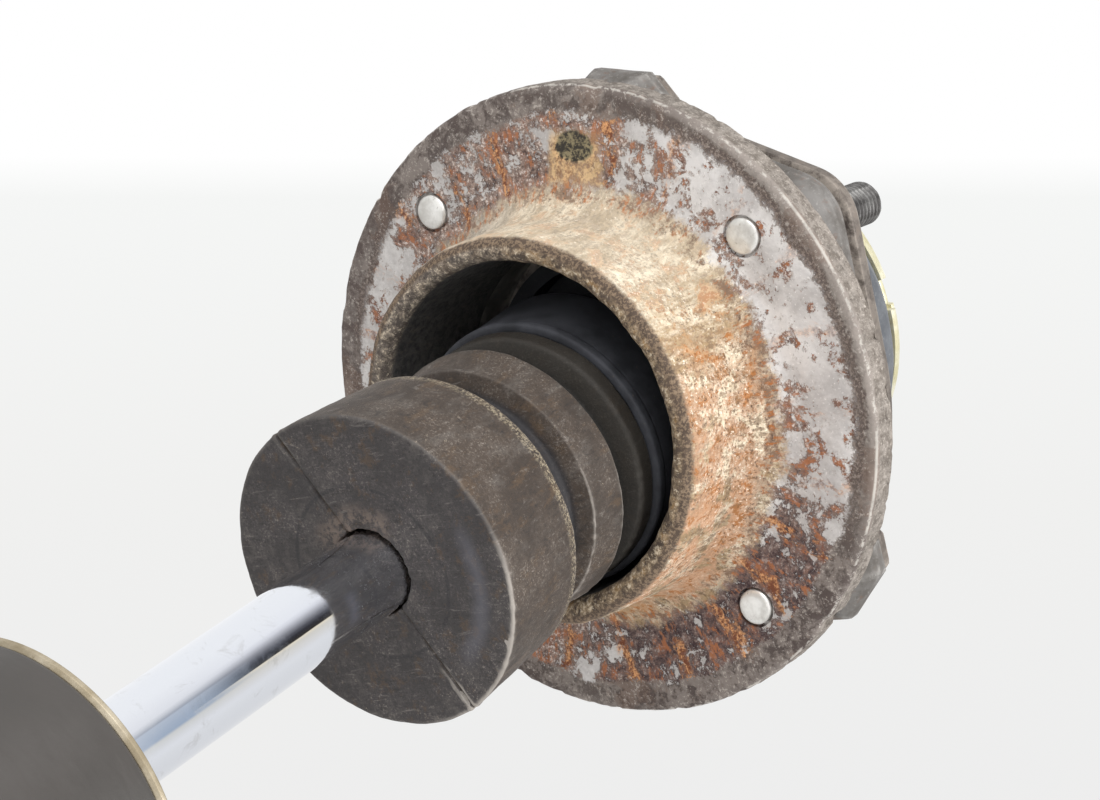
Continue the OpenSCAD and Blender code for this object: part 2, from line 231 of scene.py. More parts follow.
def around(geometry, angles, radius):
    """Copies of the geometry at these angles, in degrees, on a circle of that radius."""
    out = Matrix.Translation((radius, 0, 0))
    turns = (Matrix.Rotation(radians(a), 4, "Z") for a in angles)
    return joined(*(moved(geometry, turn @ out) for turn in turns))


def mesh_object(name, geometry):
    mesh = bpy.data.meshes.new(name)
    mesh.from_pydata(geometry[0], [], geometry[1])
    worked = bmesh.new()
    worked.from_mesh(mesh)
    bmesh.ops.recalc_face_normals(worked, faces=worked.faces)
    worked.to_mesh(mesh)
    worked.free()
    obj = bpy.data.objects.new(name, mesh)
    bpy.context.scene.collection.objects.link(obj)
    return obj


def apply_modifiers(obj):
    evaluated = obj.evaluated_get(bpy.context.evaluated_depsgraph_get())
    mesh = bpy.data.meshes.new_from_object(evaluated)
    obj.modifiers.clear()
    obj.data = mesh


def cut_away(obj, geometry):
    """Cuts the geometry out of obj."""
    cutter = mesh_object(obj.name + "_cutter", geometry)
    cut = obj.modifiers.new("cut", "BOOLEAN")
    cut.operation, cut.solver, cut.object = "DIFFERENCE", "EXACT", cutter
    apply_modifiers(obj)
    bpy.data.objects.remove(cutter)


def roughen(obj, relief):
    """Moves each vertex along its normal by relief(point), all in mm."""
    mesh = obj.data
    normals = [v.normal.copy() for v in mesh.vertices]
    for v, n in zip(mesh.vertices, normals):
        v.co += n * relief(v.co)
    mesh.update()


def ripple(p, size, octaves=3):
    """Smooth noise between about -1 and 1, with features of that size in mm."""
    return noise.fractal(Vector(p) / size, 0.9, 2.1, octaves)


def skin(depth, size, octaves, sunk=0):
    """A relief of even roughness."""
    return lambda p: depth * ripple(p, size, octaves) - sunk


# ---- materials ----


def tone(text):
    """A linear colour from an sRGB hex code."""
    parts = [int(text[i : i + 2], 16) / 255 for i in (0, 2, 4)]
    linear = (c / 12.92 if c <= 0.04045 else ((c + 0.055) / 1.055) ** 2.4 for c in parts)
    return (*linear, 1)


def put(socket, value):
    if isinstance(value, bpy.types.NodeSocket):
        socket.id_data.links.new(value, socket)
    elif isinstance(value, str):
        socket.default_value = tone(value)
    elif value is not None:
        socket.default_value = value


def add_node(kind, *values, tree=None, **settings):
    """A node in the tree of its values, which are sockets, numbers, tuples or sRGB hex codes."""
    tree = tree or next(v.id_data for v in values if isinstance(v, bpy.types.NodeSocket))
    made = tree.nodes.new("ShaderNode" + kind)
    for key, value in settings.items():
        setattr(made, key, value)
    for socket, value in zip(made.inputs, values):
        put(socket, value)
    return made


def fill(made, values):
    """Sets or links inputs by name, and leaves those given as None."""
    for name, value in values.items():
        put(made.inputs[name], value)
    return made.outputs[0]


def maths(operation, a, b=0):
    return add_node("Math", a, b, operation=operation).outputs[0]


def plus(first, *others):
    for other in others:
        first = maths("ADD", first, other)
    return first


def times(first, *others):
    for other in others:
        first = maths("MULTIPLY", first, other)
    return first


def stirred(value, *shifts):
    """The value moved about by noises, each given as (noise, reach) and centred on 0."""
    for shift, reach in shifts:
        value = plus(value, times(plus(shift, -0.5), reach))
    return value


def vector(operation, a, b=None):
    return add_node("VectorMath", a, b, operation=operation).outputs["Vector"]


def dot(a, b):
    return add_node("VectorMath", a, tuple(b), operation="DOT_PRODUCT").outputs["Value"]


def split(value):
    return add_node("SeparateXYZ", value).outputs


def combine(x, y, z):
    return add_node("CombineXYZ", x, y, z).outputs[0]


def spun(where):
    """(distance from the Z axis, unit direction from it, height) of a point, as sockets."""
    x, y, z = split(where)
    flat = combine(x, y, 0)
    length = add_node("VectorMath", flat, operation="LENGTH").outputs["Value"]
    return length, vector("NORMALIZE", flat), z


def noise_at(where, size, detail=5, roughness=0.6, distortion=0):
    """Noise between 0 and 1 with features of that size."""
    shape = {"Scale": 1 / size, "Detail": detail, "Roughness": roughness}
    return fill(add_node("TexNoise", where), {**shape, "Distortion": distortion})


def remap(value, low, high, first, last):
    """first where value is low, last where it is high, and a straight line between."""
    return add_node("MapRange", value, low, high, first, last).outputs[0]


def window(value, low, high, top=1):
    """0 where value is under low and top where it is over high. low may be the larger."""
    ends = (low, high, 0, top) if low < high else (high, low, top, 0)
    return add_node("MapRange", value, *ends, interpolation_type="SMOOTHSTEP").outputs[0]


def band(value, low, high, soft):
    """1 between low and high, with soft edges."""
    return times(window(value, low - soft, low + soft), window(value, high + soft, high - soft))


def mix(factor, a, b):
    made = add_node("Mix", factor, data_type="RGBA")
    put(made.inputs[6], a)
    put(made.inputs[7], b)
    return made.outputs[2]


def tones(value, low, high, first, last):
    """The first colour where value is under low, the last where it is over high."""
    return mix(window(value, low, high), first, last)


def coats(colour, *layers):
    """The colour under layers of (mask, colour), one on another."""
    for mask, layer in layers:
        colour = mix(mask, colour, layer)
    return colour


def ramp(factor, *stops):
    """A colour ramp from (place, colour) stops."""
    made = add_node("ValToRGB", factor)
    elements = made.color_ramp.elements
    while len(elements) < len(stops):
        elements.new(0.5)
    for element, (place, colour) in zip(elements, stops):
        element.position, element.color = place, tone(colour)
    return made.outputs[0]


def bump(height, distance, strength):
    """Bump of that distance in mm."""
    made = add_node("Bump", tree=height.id_data)
    return fill(made, {"Height": height, "Distance": distance * MM, "Strength": strength})


class Look:
    """A material on the Principled shader."""

    def __init__(self, name, metallic=0, roughness=0.5, specular=0.5):
        self.material = bpy.data.materials.new(name)
        self.material.use_nodes = True
        self.tree = self.material.node_tree
        self.shader = self.tree.nodes["Principled BSDF"]
        basics = {"Metallic": metallic, "Roughness": roughness, "Specular IOR Level": specular}
        fill(self.shader, basics)

    def here(self):
        """The point in the row frame, in mm."""
        place = add_node("TexCoord", tree=self.tree).outputs["Object"]
        return fill(add_node("VectorMath", place, operation="SCALE"), {"Scale": 1 / MM})

    def edges(self, low=0.5, high=0.56):
        """1 on convex edges."""
        return window(add_node("NewGeometry", tree=self.tree).outputs["Pointiness"], low, high)

    def done(self, colour, roughness=None, metallic=None, normal=None):
        values = {"Roughness": roughness, "Metallic": metallic, "Normal": normal}
        fill(self.shader, {"Base Color": colour, **values})
        return self.material


def turned_metal(
    name, bright, dark, roughness, metallic=1, lines=0.35, stain="6b5a48", stained=0.25
):
    """Machined or plated metal with fine lines round the axis, uneven tone and light staining."""
    look = Look(name, metallic=metallic)
    where = look.here()
    r, _, z = spun(where)
    lathe_lines = noise_at(combine(times(r, 6), times(z, 6), 0), 1, 3)
    cloud = noise_at(where, 7, 6, 0.65)
    speck = noise_at(where, 0.9, 8, 0.75)
    colour = tones(cloud, 0.35, 0.65, dark, bright)
    colour = mix(window(speck, 0.58, 0.72, stained), colour, stain)
    height = plus(times(lathe_lines, lines), times(speck, 0.3))
    rough = remap(cloud, 0.3, 0.7, roughness[1], roughness[0])
    return look.done(colour, rough, normal=bump(height, 0.05, 0.5))


def moulded(name, base, pale, dark, roughness=0.7, grain=0.5, dust=0.3, dust_colour="8f8880"):
    """Rubber or plastic with an uneven skin, fine grain and dust."""
    look = Look(name, roughness=roughness, specular=0.35)
    where = look.here()
    cloud = noise_at(where, 9, 6, 0.6)
    fine = noise_at(where, grain, 6, 0.7)
    specks = noise_at(where, 0.7, 9, 0.8, 0.4)
    colour = coats(
        tones(cloud, 0.3, 0.7, dark, base),
        (window(fine, 0.5, 0.8, 0.5), pale),
        (window(specks, 0.6, 0.7, dust), dust_colour),
    )
    rough = remap(cloud, 0.3, 0.7, roughness - 0.08, roughness + 0.1)
    return look.done(colour, rough, normal=bump(plus(fine, times(cloud, 2)), 0.06, 0.6))


def painted(name, base, worn, dark, roughness=0.4, peel=1.6, wear=0.35):
    """Paint or coating with orange peel, faint scuffs, and wear on its edges."""
    look = Look(name, roughness=roughness)
    where = look.here()
    cloud = noise_at(where, 22, 7, 0.6)
    peeled = noise_at(where, peel, 2, 0.5)
    chips = noise_at(where, 2.6, 10, 0.8)
    scuffs = noise_at(vector("MULTIPLY", where, (0.6, 0.6, 2.6)), 3, 9, 0.75)
    at_edge = times(look.edges(0.56, 0.62), window(chips, 0.45, 0.55))
    colour = coats(
        tones(cloud, 0.3, 0.7, dark, base),
        (window(scuffs, 0.56, 0.72, 0.4 * wear), worn),
        (maths("MAXIMUM", at_edge, window(chips, 0.69, 0.72, wear)), worn),
    )
    rough = remap(scuffs, 0.3, 0.7, roughness - 0.06, roughness + 0.16)
    return look.done(colour, rough, normal=bump(plus(peeled, times(chips, 0.4)), 0.04, 0.4))


# Degrees round the mount's axis, as the photograph shows it.
LEFT, TOP, SPOT, LOWER_RIGHT, BOTTOM, LOWER_LEFT = 130, 174, 191.5, 305, 338, 60
# Places on the seat's outline in mm, from the lip over collar, face and rim to the side.
FACE_FROM, SPOT_OUTWARD, RIM_FROM, SIDE_FROM = 24.5, 33.2, 40.2, 44.9
RUNS_ROUND = 24


class SeatPoint:
    """What the zones of the spring seat share: the place on its outline, and noises there."""

    def __init__(self, look):
        turn = add_node("VectorRotate", look.here(), rotation_type="Y_AXIS")
        where = fill(turn, {"Angle": -LEAN})
        self.r, self.direction, self.z = spun(where)
        self.x, self.y, _ = split(self.direction)
        self.outward = plus(self.r, self.z, 4.6)
        self.cloud = noise_at(where, 16, 9, 0.7, 0.3)
        self.patch = noise_at(where, 5, 12, 0.74, 0.25)
        self.flake = noise_at(where, 1.7, 10, 0.76, 0.2)
        self.grit = noise_at(where, 0.6, 4, 0.75)
        self.runs = self.streaks(13, 0.09)
        self.hair = self.streaks(38, 0.3)
        self.blots = stirred(self.flake, (self.patch, 0.5))
        self.flecks = stirred(self.grit, (self.flake, 0.8))
        self.oily = self.facing(BOTTOM, 20, 52)
        rusty = maths("MAXIMUM", times(self.facing(TOP, 20, 52), 0.75), self.oily)
        self.rusty = maths("MAXIMUM", rusty, self.facing(LOWER_LEFT, 30, 60))
        self.worn_side = maths("MAXIMUM", self.rusty, self.facing(LEFT, 40, 70))
        self.cover = plus(
            stirred(self.patch, (self.flake, 0.5)),
            times(self.rusty, 0.115),
            window(self.outward, 37, 27, 0.05),
        )
        self.bare = window(self.cover, 0.575, 0.545)

    def streaks(self, fine, along):
        """Noise drawn out along the outline from the lip to the rim."""
        x, y = times(self.x, fine), times(self.y, fine)
        return noise_at(combine(x, y, times(self.outward, along)), 1, 7, 0.7)

    def facing(self, angle, inner, outer):
        """1 within inner degrees of the angle, 0 outside outer."""
        angle, inner, outer = (radians(v) for v in (angle, inner, outer))
        along = dot(self.direction, (cos(angle), sin(angle), 0))
        return window(along, cos(outer), cos(inner))


def seat_collar(at):
    """Pale oxide, smooth in places and gritty in others."""
    patch, grit = at.patch, at.grit
    stains = stirred(patch, (at.hair, 0.7), (at.flake, 0.5))
    gritty = remap(window(at.cloud, 0.42, 0.54), 0, 1, 0.3, 1)
    ruddy = at.facing(LOWER_RIGHT, 25, 65)
    return coats(
        tones(stirred(at.runs, (at.cloud, 0.8)), 0.4, 0.6, "a18968", "d6c7ae"),
        (window(patch, 0.52, 0.56, 0.75), "b88f62"),
        (times(ruddy, window(patch, 0.45, 0.49, 0.7)), "bb9073"),
        (window(stains, 0.57, 0.62, 0.85), "a3652c"),
        (window(stains, 0.43, 0.38, 0.75), "7d6650"),
        (times(window(at.blots, 0.54, 0.59, 0.8), gritty), "836242"),
        (times(window(grit, 0.56, 0.62, 0.85), gritty), "523e30"),
        (times(window(grit, 0.42, 0.36, 0.8), gritty), "fdf3e2"),
        (times(at.facing(195, 25, 60), 0.4), "ddd3c0"),
        (times(at.facing(110, 34, 72), 0.8), tones(at.flake, 0.42, 0.58, "7d756d", "b9b1a7")),
    )


def seat_rust(at):
    mottle = window(stirred(at.flake, (at.patch, 0.6)), 0.38, 0.6)
    dry = mix(mottle, "4c3732", "9a877c")
    pale = times(window(at.flecks, 0.57, 0.63), remap(at.oily, 0, 1, 0.8, 0.25))
    dark = stirred(at.grit, (at.flake, 0.6))
    return coats(
        mix(at.oily, dry, mix(mottle, "38272a", "705e58")),
        (window(stirred(at.patch, (at.flake, 0.5)), 0.54, 0.6, 0.7), "6f4636"),
        (pale, "d8cec6"),
        (window(dark, 0.42, 0.36, 0.7), "33272a"),
        (window(stirred(at.hair, (at.patch, 0.8)), 0.57, 0.63, 0.7), "a5673f"),
    )


def seat_orange_runs(at):
    """Where rust has run outwards, evenly spaced round the face but broken up."""
    turn = times(maths("ARCTAN2", at.y, at.x), RUNS_ROUND / TAU)
    turn = plus(stirred(turn, (at.cloud, 1.1), (at.patch, 0.35)), 0.05)
    off = maths("ABSOLUTE", maths("SUBTRACT", maths("FRACT", turn), 0.5))
    broken = stirred(plus(at.hair, at.flake), (at.cloud, 1.2))
    run = times(window(off, 0.13, 0.02), window(broken, 0.92, 1.05))
    return times(run, window(at.rusty, -0.6, 0.8))


def seat_face(at):
    """Where the spring's pad sat: bare metal under flaking rust, and one stained spot."""
    flake, outward = at.flake, at.outward
    fine = stirred(flake, (at.grit, 0.5))
    rough = stirred(flake, (at.grit, 0.6))
    metal = coats(
        tones(at.cloud, 0.38, 0.6, "b4b0ae", "dad7d5"),
        (window(fine, 0.58, 0.64, 0.6), "8d8580"),
        (window(at.grit, 0.4, 0.35, 0.6), "f4f1ef"),
        (times(at.worn_side, 0.5), tones(flake, 0.4, 0.58, "96908b", "bdb8b4")),
    )
    across = times(dot(at.direction, (0.2, -0.98, 0)), outward)
    across = stirred(across, (flake, 2.5))
    below = stirred(plus(outward, -SPOT_OUTWARD), (flake, 2))
    near_spot = at.facing(SPOT, 8, 14)
    stain = window(maths("ABSOLUTE", across), 4.2, 3.4)
    stain = times(stain, band(outward, 26, 35.5, 1.5), near_spot)
    away = plus(maths("POWER", across, 2), maths("POWER", below, 2))
    spot = times(window(maths("SQRT", away), 3.1, 2.5), near_spot)
    return coats(
        mix(at.bare, seat_rust(at), metal),
        (seat_orange_runs(at), tones(rough, 0.42, 0.56, "d49d6c", "6d3e29")),
        (times(stain, 0.8), tones(fine, 0.42, 0.58, "d9b88a", "8a6c50")),
        (spot, tones(fine, 0.4, 0.52, "8a7f62", "34302a")),
    )


def seat_lip(at):
    grey = tones(at.flake, 0.42, 0.58, "5c5550", "8f867c")
    return coats(
        tones(at.blots, 0.4, 0.58, "574a40", "a08b70"),
        (window(at.patch, 0.54, 0.6, 0.6), "8b6a3e"),
        (times(at.facing(120, 50, 85), 0.8), grey),
        (window(at.flecks, 0.56, 0.62, 0.8), "d9cab2"),
        (window(at.grit, 0.42, 0.36, 0.6), "3a302a"),
    )


def seat_speckled(at):
    """The dirty border between collar and face."""
    return coats(
        tones(at.blots, 0.42, 0.58, "bfad96", "77604f"),
        (window(at.hair, 0.52, 0.58, 0.8), "a8642f"),
        (window(at.grit, 0.58, 0.64, 0.75), "45352e"),
    )


def seat_rim(at):
    mottle = window(stirred(at.patch, (at.flake, 0.6)), 0.4, 0.6)
    outer = window(stirred(at.outward, (at.flake, 1.5)), 42.3, 43.1, 0.7)
    brown = window(stirred(at.cloud, (at.flake, 0.4)), 0.54, 0.6, 0.5)
    return coats(
        mix(mottle, "5f5650", "8b837c"),
        (outer, "938a83"),
        (at.worn_side, mix(mottle, "524743", "7d746e")),
        (brown, "6b564a"),
        (window(at.flecks, 0.58, 0.64, 0.6), "b3aba3"),
    )


def seat_side(at):
    return coats(
        tones(stirred(at.flake, (at.hair, 0.5)), 0.38, 0.6, "686058", "908880"),
        (window(at.grit, 0.58, 0.64, 0.7), "4c443e"),
        (window(at.grit, 0.42, 0.36, 0.6), "c4bbb2"),
    )


def stained_casting():
    """The spring seat's zones, from the lip outwards and then the collar's inside, which is painted
    dark as shade; the rim's corner has a painted highlight.
    """
    look = Look("stained_casting", specular=0.4)
    at = SeatPoint(look)
    flake, grit, outward = at.flake, at.grit, at.outward
    place = stirred(outward, (at.cloud, 12), (flake, 5), (at.runs, 7), (grit, 4))
    rim_from = stirred(outward, (at.cloud, 4), (at.patch, 5), (flake, 4), (grit, 3))
    rim_from = plus(rim_from, times(at.worn_side, 1.8))
    lip_r = stirred(at.r, (flake, 1.2))
    past_lip = window(stirred(outward, (flake, 3)), 0.2, 1.6)
    past_lip = times(past_lip, window(at.r, 32.9, 33.7))
    border = times(window(place, 20, 24), window(at.patch, 0.44, 0.52, 0.9))
    groove = times(band(rim_from, RIM_FROM - 0.3, 42.2, 0.35), window(at.rusty, 0.8, 0, 0.8))
    # Breaks the painted highlight on the rim's corner into real chips.
    chips_and_edge_highlight = window(stirred(flake, (at.cloud, 1)), 0.48, 0.54)
    inner_wall_shade = window(stirred(at.z, (flake, 2)), -37.8, -36.4)
    # The collar's inside wall: dark grey painted shade, with a few real streaks over it.
    inside = tones(flake, 0.4, 0.6, "3f3e3e", "5d5a57")
    inside = mix(window(at.hair, 0.56, 0.66, 0.4), inside, "7a6f64")
    colour = coats(
        seat_lip(at),
        (window(lip_r, 32.4, 33.2), tones(grit, 0.48, 0.55, "54463b", "826f5b")),
        (past_lip, seat_collar(at)),
        (border, seat_speckled(at)),
        (window(place, FACE_FROM, FACE_FROM + 3), seat_face(at)),
        (window(rim_from, RIM_FROM, RIM_FROM + 0.7), seat_rim(at)),
        (groove, tones(grit, 0.47, 0.58, "544843", "877a71")),
        # pale line on the rim's rounded corner: a painted highlight, broken up by real chips
        (times(band(outward, 44.1, 44.8, 0.25), chips_and_edge_highlight, 0.8), "bcb7af"),
        (window(outward, SIDE_FROM, SIDE_FROM + 0.7), seat_side(at)),
        # painted shade on the collar's inside wall
        (times(window(at.r, 31, 30.4), inner_wall_shade), inside),
    )
    on_face = times(band(place, 25.5, 41, 1), at.bare)
    height = plus(window(at.cover, 0.52, 0.62, 0.8), times(grit, 0.5), times(flake, 0.6))
    rough = remap(on_face, 0, 1, 0.85, 0.5)
    return look.done(colour, rough, times(on_face, 0.3), bump(height, 0.12, 0.8))


def dull_casting(name, base, pale, dark, rust="6e4f3c", rusted=0.4):
    """A sand-cast skin: grainy, dirty in patches, paler on its edges."""
    look = Look(name, roughness=0.62, specular=0.4)
    where = look.here()
    cloud = noise_at(where, 8, 8, 0.65)
    sand = noise_at(where, 0.8, 6, 0.7)
    patch = noise_at(where, 3, 10, 0.72, 0.4)
    colour = coats(
        tones(cloud, 0.35, 0.65, dark, base),
        (window(patch, 0.54, 0.64, rusted), rust),
        (window(sand, 0.56, 0.7, 0.5), pale),
        (times(look.edges(), window(patch, 0.38, 0.6)), pale),
    )
    rough = remap(patch, 0.3, 0.7, 0.5, 0.8)
    return look.done(colour, rough, 0.15, bump(plus(sand, times(patch, 1.4)), 0.08, 0.7))


def stop_foam():
    """The bump stop: brown-black skin, dusty and scratched, scuffed pale on its edges with a
    painted highlight there, a painted highlight arc on its face, and painted shade in its grooves
    and towards the cup.
    """
    look = Look("stop_polymer", specular=0.3)
    where = look.here()
    r, direction, z = spun(where)
    behind = plus(z, -STOP_FACE)
    cloud = noise_at(where, 12, 9, 0.7)
    fine = noise_at(where, 0.45, 4, 0.85)
    dust = noise_at(where, 1.5, 9, 0.9, 0.2)
    scratch = noise_at(vector("MULTIPLY", where, (2.2, 0.35, 0.9)), 2, 9, 0.8, 0.5)
    smear = noise_at(vector("MULTIPLY", where, (1, 1, 0.4)), 4, 9, 0.75)

    def toward(x, y, low, high):
        """1 on the side that faces (x, y)."""
        return window(dot(direction, (x, y, 0)), low, high)

    on_face = window(behind, 0.5, 0.2)
    torn = times(window(r, 13, 9), toward(-0.99, 0.1, 0.5, 0.8))
    ring = times(band(plus(r, smear), 15, 15.7, 0.2), window(smear, 0.46, 0.54, 0.5))
    outer = band(plus(r, times(cloud, 4)), 21.5, 24, 1.5)
    # Painted highlight: a blue-grey arc just inside the face's edge, on the side toward (0.3,
    # -0.95).
    painted_arc_highlight = times(toward(0.3, -0.95, 0.75, 0.95), outer)
    # Pale edges: real scuffs, brightened into a painted highlight on the side toward (0.625,
    # -0.78).
    worn_and_lit_side = remap(toward(0.625, -0.78, 0.6, 0.93), 0, 1, 0.1, 0.8)
    edge = times(look.edges(0.503, 0.53), window(r, 18, 20))
    rear = band(plus(behind, smear), 19.2, 21.4, 0.6)
    dusty = times(window(fine, 0.56, 0.62, 0.6), window(cloud, 0.4, 0.62))
    in_shade = window(plus(behind, times(smear, 6)), 39, 46, 0.85)
    colour = coats(
        tones(cloud, 0.36, 0.62, "3a322c", "4b4139"),
        (on_face, tones(cloud, 0.36, 0.62, "3a3737", "454141")),
        (window(smear, 0.5, 0.66, 0.35), "6c6762"),
        (window(smear, 0.47, 0.38, 0.6), "564534"),
        (window(scratch, 0.57, 0.63, 0.4), "857f79"),
        (window(scratch, 0.44, 0.38, 0.6), "2b2827"),
        (dusty, "938b83"),
        (window(fine, 0.45, 0.38, 0.5), "262324"),
        (window(dust, 0.63, 0.66, 0.9), "c2b49f"),
        (times(torn, window(smear, 0.46, 0.54, 0.7)), "786a60"),
        (times(ring, on_face), "26262a"),
        # painted highlight arc on the face
        (times(painted_arc_highlight, on_face, 0.5), "66666e"),
        # pale edges: real scuffs plus a painted highlight
        (times(edge, worn_and_lit_side), "aaa39b"),
        # Painted shade: darker in the grooves and the bore, further than about 8 to 16 mm behind
        # the face.
        (times(window(r, 20.8, 19.4, 0.8), window(behind, 8, 16)), "232429"),
        (in_shade, "211f1b"),
        (times(rear, window(fine, 0.5, 0.55, 0.7)), "a39780"),
    )
    rough = remap(smear, 0.3, 0.7, 0.48, 0.72)
    return look.done(colour, rough, normal=bump(plus(fine, times(scratch, 1.6)), 0.1, 0.7))


def chrome():
    """Polished hard chrome with faint hairlines, handling marks, and dust near the stop."""
    look = Look("hard_chrome", metallic=1)
    where = look.here()
    lines = noise_at(vector("MULTIPLY", where, (3, 3, 0.25)), 1, 4)
    marks = noise_at(where, 5, 8, 0.7, 0.8)
    near_stop = window(split(where)[2], STOP_FACE - 26, STOP_FACE - 4)
    specks = window(noise_at(where, 0.9, 6, 0.85), 0.6, 0.63, 0.6)
    specks = times(near_stop, specks)
    colour = mix(window(marks, 0.55, 0.7, 0.6), "e9ecf2", "cfd0d2")
    colour = mix(specks, colour, "8e8a86")
    rough = remap(marks, 0.45, 0.7, 0.045, 0.12)
    rough = maths("MAXIMUM", rough, times(specks, 0.7))
    return look.done(colour, rough, normal=bump(lines, 0.004, 0.35))


def oiled_steel():
    look = Look("pressed_steel", metallic=0.1, specular=0.2)
    where = look.here()
    cloud = noise_at(where, 6, 7, 0.65)
    specks = noise_at(where, 0.8, 9, 0.8)
    colour = tones(cloud, 0.35, 0.65, "303135", "414247")
    colour = mix(window(specks, 0.6, 0.7, 0.5), colour, "7a6a58")
    rough = remap(cloud, 0.3, 0.7, 0.55, 0.75)
    return look.done(colour, rough, normal=bump(plus(specks, cloud), 0.05, 0.5))


TURNED = {
    "stud_steel": ("8c8b89", "5b5958", (0.38, 0.6), 0.75, 0.1, "55463a", 0.6),
    "rivet_metal": ("efeeea", "c3c0ba", (0.3, 0.5), 0.6, 0.15, "857c70", 0.75),
    "yellow_zinc": ("e6e3cf", "c5be99", (0.3, 0.5), 0.6, 0.2, "77602f", 0.7),
    "dull_zinc": ("b3a995", "8f836c", (0.4, 0.6), 0.5, 0.2, "5c4c33", 0.7),
    "zinc_steel": ("c9cacb", "94969a", (0.3, 0.5), 0.9, 0.2),
    "bright_steel": ("b9bbbe", "85878b", (0.22, 0.42)),
    "sintered": ("84868a", "5d5f64", (0.45, 0.62), 0.8, 0.1),
    "guide_alloy": ("c6c7c9", "9a9c9f", (0.25, 0.42), 1, 0.5),
    "bronze": ("c9a05c", "8f6c38", (0.25, 0.42)),
}
MOULDED = {
    "bush_rubber": ("2b2c30", "4a4a4c", "1c1d20"),
    "blue_grey_rubber": ("6c6f73", "8d8f90", "4c4f54", 0.55, 0.7, 0.3, "a8a196"),
    "low_friction": ("b79a63", "cdb482", "8f7444", 0.5),
    "bumper_plastic": ("d9d0a2", "e9e3c4", "b8ad7c", 0.45),
    "seal_rubber": ("332c28", "4d4540", "221d1b", 0.5),
}
CAST = {
    "upper_casting": ("787572", "a5a29e", "55504b"),
    "brown_plate": ("5f5750", "958c83", "453d38", "574233"),
}
PAINTED = {
    "damper_paint": ("3f3b38", "6e665f", "393633", 0.34, 1.6, 0.1),
    "perch_paint": ("2f3033", "7f7c78", "1e1f22", 0.45),
}
LOOKS = {
    "stained_casting": stained_casting(),
    "stop_polymer": stop_foam(),
    "hard_chrome": chrome(),
    "pressed_steel": oiled_steel(),
}
makers = {turned_metal: TURNED, moulded: MOULDED, dull_casting: CAST, painted: PAINTED}
for make, table in makers.items():
    LOOKS.update({name: make(name, *values) for name, values in table.items()})

SLOT_OF = {part["node"]: part["material_slot"] for part in record["subparts"]}
bodies = record["behaviour"]["bodies"]
BODY_OF = {node: body for body, members in bodies.items() for node in members}

for node, carried in frame["nodes"].items():
    carried.data.materials.clear()
    carried.data.materials.append(LOOKS[SLOT_OF[node]])


def settle(obj, node, turn=IN_ROD, sharp=32, look=None):
    """Puts a finished mesh in its CAD node's place in the row frame, on its body and shaded."""
    obj.data.transform(turn @ Matrix.Scale(MM, 4))
    obj.data.shade_smooth()
    obj.data.set_sharp_from_angle(angle=radians(sharp))
    obj.data.materials.clear()
    obj.data.materials.append(look or LOOKS[SLOT_OF[node]])
    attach(obj, BODY_OF[node])
    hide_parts(node)
    return obj


def stand_for(node, geometry, turn=IN_ROD, sharp=32, relief=None, cut=None, look=None):
    """A detailed mesh in a CAD node's place."""
    obj = mesh_object(node + "_detail", geometry)
    if cut is not None:
        cut_away(obj, cut)
    if relief is not None:
        roughen(obj, relief)
    return settle(obj, node, turn, sharp, look)


# ---- threads and hexagons ----


def thread(angle, radius, low, high, pitch, depth):
    """Outline points up a rolled thread, which begins gently at low."""
    points = []
    for z in np.arange(low, high, pitch / 8):
        phase = (z / pitch - angle / 360) % 1
        below = depth * min(1, max(0, 2.6 * abs(2 * phase - 1) - 0.8))
        points.append((radius - min(1, (z - low) / pitch) * below, z))
    return points


def threaded(radius, low, high, pitch, plain_to, root_r):
    """A stud with a rolled thread above plain_to, a rounded tip, and a root of root_r below."""
    depth = pitch * 0.6
    tip = [(0.25, 1.1), (-0.1, 0.7), (-0.8, 0.25), (-1.8, 0)]

    def profile(angle):
        points = [(0, low), (root_r - 0.3, low), (root_r, low + 0.3)]
        points += [(root_r, plain_to - 0.7), (radius, plain_to - 0.4)]
        points += thread(angle, radius, plain_to, high - 1.2, pitch, depth)
        points += [(radius - depth + out, high - down) for out, down in tip]
        return points + [(0, high)]

    return turned(profile, 48)


def hexagon(flats, low, high, bore, chamfer=1.2):
    """A chamfered hexagon nut."""
    limit = flats / 2 + 0.15
    slope = tan(radians(30))

    def profile(angle):
        off = (angle + 30) % 60 - 30
        wall = flats / 2 / cos(radians(off))
        inner = min(wall, limit)
        drop = max(0, wall - limit) * slope
        edge = [(bore, chamfer / 2), (bore + chamfer / 2, 0), (inner - 0.2, 0), (inner, 0.05)]
        return both_ends([*edge, (wall, 0.1 + drop)], low, high)

    return turned(profile, 180)


# ---- top mount, about its own axis ----

seat = Extent("spring_seat", IN_MOUNT)
casting = Extent("mount_body", IN_MOUNT)
plate = Extent("stud_plate", IN_MOUNT)
studs = Extent("mount_studs", IN_MOUNT)

COLLAR_BORE = 30.05
LIP_WALL = 4.55
SEAT_FACE = -18
FILLET = 8.5
RIVET_RING = 46.5
RIVET_ANGLES = (57.2, 147.2, 237.2, 327.2)
RIVET_R = 3.2
POCKET_R = 3.7
POCKET_DEPTH = 0.9
STUD_RING = 47.5
STUD_ANGLES = (0, 120, 240)
LOBE_ANGLES = (75, 195, 315)
STUD_R = 4
TAB_SPAN = 0.5
CUT_CORNER = 4


